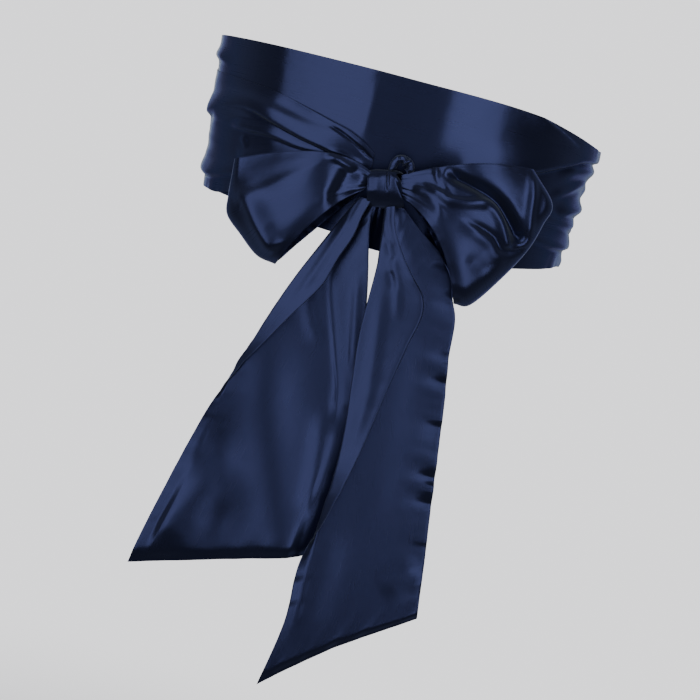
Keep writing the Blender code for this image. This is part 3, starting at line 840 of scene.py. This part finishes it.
def knot_tuck():
    """An arch whose section is a lip: it starts in the hollow, comes forward, rolls outwards and goes
    back. Uneven radial waves ruffle it, and it dips between its two lobes."""
    at = np.linspace(0, len(TUCK) - 1, 130)
    x, z = smooth_through(np.arange(len(TUCK)), np.array(TUCK), at).T[..., None]
    across = steps_across(34, 12)[None, :]
    radius, y = (smooth_through(LIP, values, across[0])[None, :] for values in (LIP_RADIUS, LIP_Y))
    around = at[:, None] * 4.2
    forwards = ramp(-across, -0.8, -0.35)
    ruffle = forwards * (0.45 * uneven(around, 13, 0.9) + 0.35 * np.cos(across * 26))
    lobe = 2.4 * np.exp(-(((x - 9.2) / 1.4) ** 2)) * ramp(z, 2, 4) * forwards
    away_x, away_z = x - TUCK_MIDDLE[0], z - TUCK_MIDDLE[1]
    length = np.hypot(away_x, away_z)
    out = length * radius + ruffle - lobe
    x = TUCK_MIDDLE[0] + out * away_x / length
    z = TUCK_MIDDLE[1] + out * away_z / length
    y = y - 0.6 * forwards * uneven(around + 2, 11, 2.0)
    return np.stack(np.broadcast_arrays(x, y, z), -1) * MM, across


grid, across = knot_tuck()
tuck_piece = shell("knot_tuck_cloth", grid, across, crushed_satin, 0.5 * MM)
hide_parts("knot_tuck")
print("ruffle area", round(sheet_area(grid), 6))

# %% [markdown]
# ## The loops of the bow
#
# A loop is a length of ribbon that goes out from the back of the knot, turns round, and comes in to
# its front. The table has one spoke for each line of the cloth, from the upper selvage to the lower
# one: where it starts at the knot, passes half way, and ends. The two legs lie a half depth behind
# and before a spoke, and meet in a round turn at its end.

# %% Tables of the loops
# (root x, z, mid x, z, end x, z, root y, mid y, end y, half depth at the middle and at the end)
LEFT_LOOP = (
    (-9.4, -11, -45, -6, -97.5, -24.5, -103, -103, -94, 9.6, 2.8),
    (-9.8, -13, -48, -13, -96.5, -36, -103.2, -103.4, -94.5, 11.2, 3.8),
    (-10.2, -15, -48, -20, -95.5, -48, -103.4, -103.7, -95, 12.4, 5),
    (-10.6, -17, -47, -28, -93.2, -60, -103.6, -104, -95.5, 13.4, 7.5),
    (-11, -18.8, -45, -36, -82, -70, -103.8, -104, -96, 14.5, 10),
    (-11.6, -20.5, -42, -43, -68, -80.5, -104, -104, -97, 15, 11.5),
    (-12.4, -22, -37, -48, -55, -82.5, -104, -104, -98, 14, 10.5),
)
RIGHT_LOOP = (
    (8.6, -7, 50, 11.5, 88.5, 18, -103, -103.8, -97, 9.2, 3.2),
    (9, -9, 54, 3, 106, 0, -103.2, -104.4, -97, 11.2, 5),
    (9.4, -11.2, 55, -6, 104, -14, -103.4, -105, -97.2, 12.6, 6),
    (9.8, -13.4, 54, -16, 99, -32, -103.6, -105.6, -97.6, 13.6, 6.8),
    (10.2, -15.6, 51, -26, 88, -53, -103.8, -105.6, -98.2, 14.4, 9.2),
    (10.6, -18, 46, -35, 72.5, -75.5, -104, -105.6, -99.2, 14.8, 12),
    (11, -20.5, 40, -39, 61.8, -77.2, -104, -105, -101, 14, 11.5),
)
LOOP_ROOT_HALF = 2.4
LOOP_ACROSS, LOOP_LEG, LOOP_TURN = 84, 84, 22
# creases of the front leg: ((x, z), ...), out, left, right, rise
LEFT_LOOP_CREASES = (
    (((-22, -9), (-25, -17), (-28, -28), (-31, -38)), -2, 5, 5, 0.3),
    (((-42, -7.5), (-34, -8.5), (-26, -10.5), (-20, -12.5)), 2, 2.4, 1.6, 0.3),
    (((-14.5, -11), (-15.5, -18), (-17, -25)), 1, 3.4, 3.4, 0.3),
    (((-90, -55), (-83, -49), (-71, -37), (-59.5, -27), (-47, -17.5), (-36, -10)), 0.8, 4, 13, 0.3),
    (((-92, -51), (-85, -46.5), (-81, -49), (-72, -60), (-62, -70), (-56, -76)), 3.6, 9, 5, 0.2),
    (((-52, -66), (-58, -62), (-66, -60)), -0.5, 3, 3.6, 0.35),
)
RIGHT_LOOP_CREASES = (
    # the deep trough, and the lip below it
    (
        ((33, 3), (44, 1), (56, -1.5), (66, -4.5), (75, -9.5), (83, -17), (90, -25), (95, -31)),
        -7.8, 3.8, 3.8, 0.14,
    ),
    (
        ((22, -8), (34, -11.5), (42, -13.8), (52, -12.8), (60, -10.5), (66, -9.3), (71, -11), (76, -16),
         (80, -23), (84, -31), (88, -36)),
        2.8, 2, 4, 0.1,
    ),
    # the fold where the trough ends, the corner and the crumpled root
    (
        ((48, -22), (65, -26), (75, -30), (81, -35.5), (88, -36.5), (94, -34), (98, -30)),
        -1.8, 2.8, 1.5, 0.2,
    ),
    (((50, -26), (64, -30), (74, -34), (80, -40), (88, -42)), 1.5, 2, 5, 0.25),
    (((88, 17), (92, 4), (94, -10), (97, -27)), 1.6, 3, 3, 0.2),
    (((27, 5), (31, -2), (36, -8), (41, -13)), 1.3, 1.4, 1.8, 0.25),
    (((29.5, 1), (34, -6), (38, -11.5)), -1, 1.1, 1.1, 0.3),
    (((17, -12), (25, -14), (34, -19), (42, -27)), 1.3, 2.8, 3.4, 0.25),
    (((60, -44), (70, -50), (80, -54)), -0.6, 4, 5, 0.35),
)
# creases of the back leg, in the same columns
LEFT_BACK_CREASES = (
    (((-16, -16), (-34, -20), (-56, -30), (-78, -46)), 2.2, 4, 5, 0.2),
    (((-18, -20), (-34, -34), (-50, -56)), -2, 3, 4, 0.25),
    (((-40, -10), (-60, -16), (-84, -28)), -1.6, 3, 4, 0.25),
    (((-60, -40), (-72, -52), (-80, -62)), 1.4, 3, 4, 0.3),
)
RIGHT_BACK_CREASES = (
    (((16, -8), (40, 0), (66, 4), (92, 6)), 2.2, 4, 5, 0.2),
    (((18, -13), (40, -14), (70, -22), (94, -26)), -2.2, 3, 4, 0.2),
    (((18, -16), (36, -28), (56, -44), (72, -60)), 2, 4, 4, 0.2),
    (((50, -30), (66, -38), (84, -46)), -1.4, 3, 4, 0.3),
)
print("spokes:", len(LEFT_LOOP), len(RIGHT_LOOP))

# %% [markdown]
# ### Making a loop
#
# The half depth along a spoke is a quarter circle at the end, then swells, then narrows to the root.
# The folds of a gathered root are a wave across the cloth that fades on the way out: near the knot
# the whole width of the ribbon has to fit into a finger's breadth.

# %% The loops
def loop(spokes, front_creases, back_creases, seed, lag):
    """A loop's grid. Rows run from the root of the back leg round the end to that of the front one,
    columns from the upper selvage to the lower. Lag moves the back leg's lower part aside, in mm."""
    across = steps_across(LOOP_ACROSS, 100)
    table = smooth_through(np.linspace(0, 1, len(spokes)), np.array(spokes, float), across)
    root, mid, end = (table[:, [k, k // 2 + 6, k + 1]][:, None] for k in (0, 2, 4))
    swell, tip = table[:, 9:10], table[:, 10:]
    length = np.linalg.norm(end - mid, axis=-1) + np.linalg.norm(mid - root, axis=-1)
    turn = np.linspace(0, math.pi / 2, LOOP_TURN + 1)
    near_end = tip * (1 - np.cos(turn)) / length
    legs = np.linspace(0, 1, LOOP_LEG + 1)[1:]
    from_end = np.concatenate([near_end, near_end[:, -1:] + (1 - near_end[:, -1:]) * legs], axis=1)
    at = (1 - from_end)[..., None]
    line = root * (1 - at) * (1 - 2 * at) + mid * 4 * at * (1 - at) + end * at * (2 * at - 1)
    round_end = np.concatenate([tip * np.sin(turn), np.repeat(tip, LOOP_LEG, axis=1)], axis=1)
    bulge = (swell - tip) * np.sin(math.pi * np.clip(from_end, 0, 1)) ** 1.5
    root_share = ramp(from_end, 0.6, 1.0)
    half = round_end * (1 - root_share) + bulge + LOOP_ROOT_HALF * root_share
    forward = half[..., None] * (0, -1, 0)
    aside = np.array(lag) * (ramp(across, 0.62, 1.0)[:, None] * np.sin(math.pi * from_end))[..., None]
    back, front = line - forward + aside, line + forward
    sections = np.concatenate([back[:, ::-1], front[:, 1:]], axis=1).transpose(1, 0, 2)
    middle = np.concatenate([line[:, ::-1], line[:, 1:]], axis=1).transpose(1, 0, 2)
    from_end = np.concatenate([from_end[:, ::-1], -from_end[:, 1:]], axis=1).T

    normal = normals_of(sections)
    normal = normal * np.sign((normal * (sections - middle)).sum())
    x, z = sections[..., 0], sections[..., 2]
    in_front = ramp(-normal[..., 1], 0.0, 0.5)
    out = creases(x, z, front_creases) * in_front + creases(x, z, back_creases) * (1 - in_front)
    # pleats that leave the knot, as waves across the cloth
    near_root = ramp(np.abs(from_end), 0.55, 0.98)
    pleats = uneven(across[None, :] * 60 + 5 * from_end, 19, seed) * 0.25 * near_root
    # puckers beside the seams
    run = distance(sections[:, MIDDLE])[:, None]
    rise = np.zeros_like(x)
    for edge, part in ((across, 0.0), (1 - across, 1.7)):
        smooth_edge = 0.12 * uneven(run, 31, seed + part)
        crumpled = (0.3 + 0.2 * part) * uneven(run, 14, seed + part)
        waves = smooth_edge * in_front + crumpled * (1 - in_front)
        rise = rise + waves * np.exp(-edge[None, :] * 100 / 7)
    grid = sections + (out + pleats + rise * (1 - near_root))[..., None] * normal
    return grid * MM, across


def tie(name, grid, across):
    """The shell of a loop or a tail in place of its node. Its grid holds less cloth at the knot than
    real pleats do, so its area isn't the cut's."""
    piece = shell(name + "_cloth", grid, across, smooth_satin)
    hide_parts(name)


for name, spokes, front_creases, back_creases, seed, lag in (
    ("left_loop", LEFT_LOOP, LEFT_LOOP_CREASES, LEFT_BACK_CREASES, 0.6, (6.5, 0.0, 1.0)),
    ("right_loop", RIGHT_LOOP, RIGHT_LOOP_CREASES, RIGHT_BACK_CREASES, 1.9, (-4.0, 0.0, 0.5)),
):
    grid, across = loop(spokes, front_creases, back_creases, seed, lag)
    length = distance(grid[:, MIDDLE])[-1]
    tie(name, grid, across[None, :])

# %% [markdown]
# ## The tails
#
# Each tail hangs from the knot, folded lengthwise, with its selvage turned over its own face, and
# opens on the way down to a slanted hem. Its table has a section for each height: the corners of the
# folded ribbon as seen from above. The corners are rounded by their own amounts, since a pressed
# fold is sharp and a hanging one is soft.

# %% Tables of the tails
TAIL_PLANE = -100
# (z left, z right, flap, fold, valley, crest, tuck), x and y for each corner
LEFT_TAIL = (
    (-27.3, -27.3, -6, -6, -14.5, -3, -8, 0, -2.6, -4, -8, 3),
    (-38, -38, -9, -7.5, -20, -3, -13, 0.3, -2.2, -4.5, -11, 3.5),
    (-51, -52, -11, -8.5, -26, -2.5, -18, 0.5, 0.5, -5, -15, 4.5),
    (-68, -70, -17, -8.5, -33.5, -2.5, -20, 0.6, 5, -5.5, -18, 5),
    (-86, -88, -22, -8.5, -41.2, -2.5, -17, 0.6, 9, -5, -17, 5.2),
    (-110, -111, -36, -8, -50, -2.5, -7, 0.6, 12.6, -4, -8, 5.5),
    (-131, -130, -48, -7, -56.6, -2.5, 0, 0.8, 14.8, -2.5, 0, 5.5),
    (-152, -149, -60, -5.5, -63.6, -1.5, 6.5, 1.2, 16.8, -0.5, 8, 5),
    (-178, -171, -71.5, -2.2, -67, -1.5, 11, 1.8, 17.8, 1.8, 20, 4.5),
    (-208, -196, -80, 1.4, -73, 0.2, 10, 0.4, 17, 1.2, 21, 3.4),
    (-245, -226, -88.8, 2.8, -80, 1.2, 7, -0.4, 13.5, 0.6, 17.5, 2.6),
    (-272, -245, -94.8, 3.6, -86, 2.2, 5, -1, 11.5, 0, 15.5, 2),
    (-297, -262, -99.7, 4.4, -91, 3, 3, -1.4, 9.5, -0.4, 13.5, 1.6),
)
# (z left, z right, flap, fold, face, edge), x and y for each corner
RIGHT_TAIL = (
    (-27.3, -27.3, 9.5, -7.5, 2.6, -4, 8, -1, 15.5, -3),
    (-38, -37, 12, -10, 4, -6, 13, -1.5, 28, -2),
    (-52, -50, 19.5, -12.6, 5.5, -7.5, 20, -2, 46, -1.5),
    (-66, -64, 30, -14.8, 7, -8.5, 27, -2.8, 57, -1.5),
    (-77, -75, 40, -15.4, 7.2, -9, 32, -3.4, 60.5, -1.6),
    (-87, -85, 44, -15.2, 7.2, -9.5, 35, -3.8, 65, -1.8),
    (-113, -111, 40, -15, 7.6, -9.5, 38, -4.8, 68, -2.8),
    (-144, -141, 35, -14.7, 11, -9.5, 42, -5.6, 73, -3.6),
    (-176, -172, 30.5, -14.4, 14.4, -9.2, 46, -6.4, 77.4, -4.2),
    (-207, -201, 24.6, -14, 15.2, -9, 48, -7, 81.3, -4.8),
    (-232, -222, 18.6, -13.4, 14, -8.8, 48, -7.2, 84.2, -5.4),
    (-262, -243, 9.6, -11.6, 15.5, -8.8, 48, -7.4, 87.4, -6),
    (-304, -262, 9.8, -9.4, 17, -8.4, 49, -7.8, 89.8, -6.8),
    (-351, -281.5, 3, -7.6, 11.5, -8, 44, -8, 92.5, -7.4),
)
LEFT_HEM_BOW, RIGHT_HEM_BOW = 0.0, 0.25
LEFT_CUTS, RIGHT_CUTS = (2.4, 9.0, 4.0), (2.6, 13.0)  # how far each inner corner is cut back
TAIL_ROWS, TAIL_LEG, TAIL_TURN = 230, 22, 12
# creases: leg that carries it, ((x, z), ...), out, left, right, rise
LEFT_TAIL_CREASES = (
    (1, ((-19, -72), (-16, -90), (-9, -111), (-2, -131), (4.5, -150), (9, -176)), -1.8, 5.5, 2, 0.15),
    (1, ((-92, -286), (-76, -260), (-62, -238), (-47, -212)), 3.4, 13, 16, 0.3),
    (1, ((-48, -110), (-40, -160), (-26, -205), (-8, -252), (10, -298)), 3.4, 18, 17, 0.25),
    (1, ((-2, -160), (3, -190), (6, -215), (7, -240)), -2, 7, 6, 0.3),
    (1, ((-66, -180), (-54, -232), (-46, -290)), -1.6, 10, 11, 0.35),
    (1, ((-33, -90), (-24, -112), (-12, -128)), -0.8, 4, 5, 0.3),
    (0, ((-14, -34), (-21, -56), (-29, -80), (-38, -104)), 0.5, 2.6, 2.6, 0.25),
    (2, ((-3, -70), (2, -95), (7, -120), (12, -145)), 0.8, 3, 3, 0.3),
)
RIGHT_TAIL_CREASES = (
    (0, ((13, -52), (24, -76), (30, -100)), 0.6, 2.6, 2.6, 0.3),
    (0, ((14, -70), (20, -110), (24, -150), (22, -190)), 0.8, 4, 5, 0.25),
    (0, ((10, -47), (14, -56), (18, -60)), -0.9, 3, 3, 0.3),
    (0, ((16, -66), (20, -73), (23, -80)), -0.7, 3, 3, 0.3),
    (1, ((44, -90), (50, -140), (56, -190), (58, -240)), 1, 10, 13, 0.25),
    (2, ((86, -244), (76, -258), (62, -270)), 1.2, 10, 9, 0.35),
    (1, ((22, -230), (26, -270), (22, -320)), 0.8, 10, 12, 0.3),
)
print("tail sections:", len(LEFT_TAIL), len(RIGHT_TAIL))

# %% [markdown]
# ### Making a tail
#
# The corners become rounded sections, which are slid up and down so that the hem slants. The creases
# lie on one leg each. The selvages pucker in waves, since a seam is a little shorter than its cloth,
# and the hem, which is turned up inside, bends back.

# %% The tails
def rounded(corners, cuts):
    """Sections (section, corner, xyz) with each inner corner cut back by its own length, or by 0.45
    of its shorter leg if that is less, and bridged by a parabola. It also gives each column's place:
    1.5 is half way along the second leg."""
    legs = np.diff(corners, axis=1)
    lengths = np.linalg.norm(legs, axis=2)
    along = legs / lengths[..., None]
    reach = np.minimum(np.array(cuts), 0.45 * np.minimum(lengths[:, :-1], lengths[:, 1:]))[..., None]
    start = corners[:, 1:-1] - reach * along[:, :-1]
    end = corners[:, 1:-1] + reach * along[:, 1:]
    columns, places = [], []
    before = corners[:, 0]
    for k in range(corners.shape[1] - 2):
        for t in np.arange(TAIL_LEG) / TAIL_LEG:
            columns.append(before + (start[:, k] - before) * t)
            places.append(k + 0.1 + 0.8 * t)
        for t in np.arange(TAIL_TURN) / TAIL_TURN:
            over = 2 * t * (1 - t) * corners[:, k + 1]
            columns.append((1 - t) ** 2 * start[:, k] + over + t**2 * end[:, k])
            places.append(k + 0.9 + 0.2 * t)
        before = end[:, k]
    for t in np.linspace(0, 1, TAIL_LEG + 1):
        columns.append(before + (corners[:, -1] - before) * t)
        places.append(corners.shape[1] - 2 + 0.1 + 0.9 * t)
    return np.stack(columns, axis=1), np.array(places)


def tail(sections, bow, cuts, table_of_creases, edge_wave, seed):
    """A tail's grid, rows from the knot to the hem. A point's height lies between its section's left
    and right one by its share of the width. Creases, waves beside the selvages, pleats at the knot
    and the roll of the hem then move it along its normal."""
    table = np.array(sections, float)
    along = np.concatenate([[0], np.cumsum(np.abs(np.diff(table[:, 0])) + 0.001)])
    table = smooth_through(along, table, along[-1] * steps_across(TAIL_ROWS, along[-1]))
    left, right, x, y = table[:, 0], table[:, 1], table[:, 2::2], table[:, 3::2] + TAIL_PLANE
    share = (x - x.min(axis=1, keepdims=True)) / np.ptp(x, axis=1)[:, None]
    z = left[:, None] + (right - left)[:, None] * (share + bow * share * (1 - share))
    grid, places = rounded(np.stack([x, y, z], axis=-1), cuts)
    width = distance(grid, axis=1)

    normal = normals_of(grid)
    normal = normal * -np.sign(normal[:, len(places) // 2, 1].sum())
    facing = np.where(normal[..., 1] < 0, 1.0, -1.0)
    out = np.zeros_like(facing)
    for leg, path, *sizes in table_of_creases:
        on_leg = ramp(places, leg - 0.1, leg + 0.15) * ramp(-places, -leg - 1.1, -leg - 0.85)
        out = out + crease(grid[..., 0], grid[..., 2], path, *sizes) * on_leg[None, :] * facing
    runs = distance(grid)
    run = runs[:, :1]
    opened = ramp(run, 8, 60)
    for edge, inwards, high, part in ((0, width, 0.3, 0.0), (-1, width[:, -1:] - width, edge_wave, 1.3)):
        beside = runs[:, edge, None]
        high = high * (0.85 + 0.35 * uneven(beside, 120, seed)) * ramp(beside[-1] - beside, 6, 40)
        out = out + opened * high * uneven(beside, 27, seed + part) * np.exp(-((inwards / 11) ** 2))
    pleats = 0.18 * (1 - opened) * uneven(width, 10, seed)
    # the hem, turned up inside, bends back a little
    to_hem = run[-1] - run
    hem = -2.8 * np.exp(-((to_hem / 6.8) ** 2)) + 0.6 * np.exp(-to_hem / 12) * uneven(width, 31, seed + 0.5)
    grid = grid + (out + pleats + hem * facing)[..., None] * normal
    return grid * MM, width / width[:, -1:]


for name, sections, bow, cuts, rows, edge_wave, seed in (
    ("left_tail", LEFT_TAIL, LEFT_HEM_BOW, LEFT_CUTS, LEFT_TAIL_CREASES, 0.3, 0.3),
    ("right_tail", RIGHT_TAIL, RIGHT_HEM_BOW, RIGHT_CUTS, RIGHT_TAIL_CREASES, 1.9, 1.4),
):
    grid, across = tail(sections, bow, cuts, rows, edge_wave, seed)
    length = distance(grid)[-1].max()
    tie(name, grid, across)
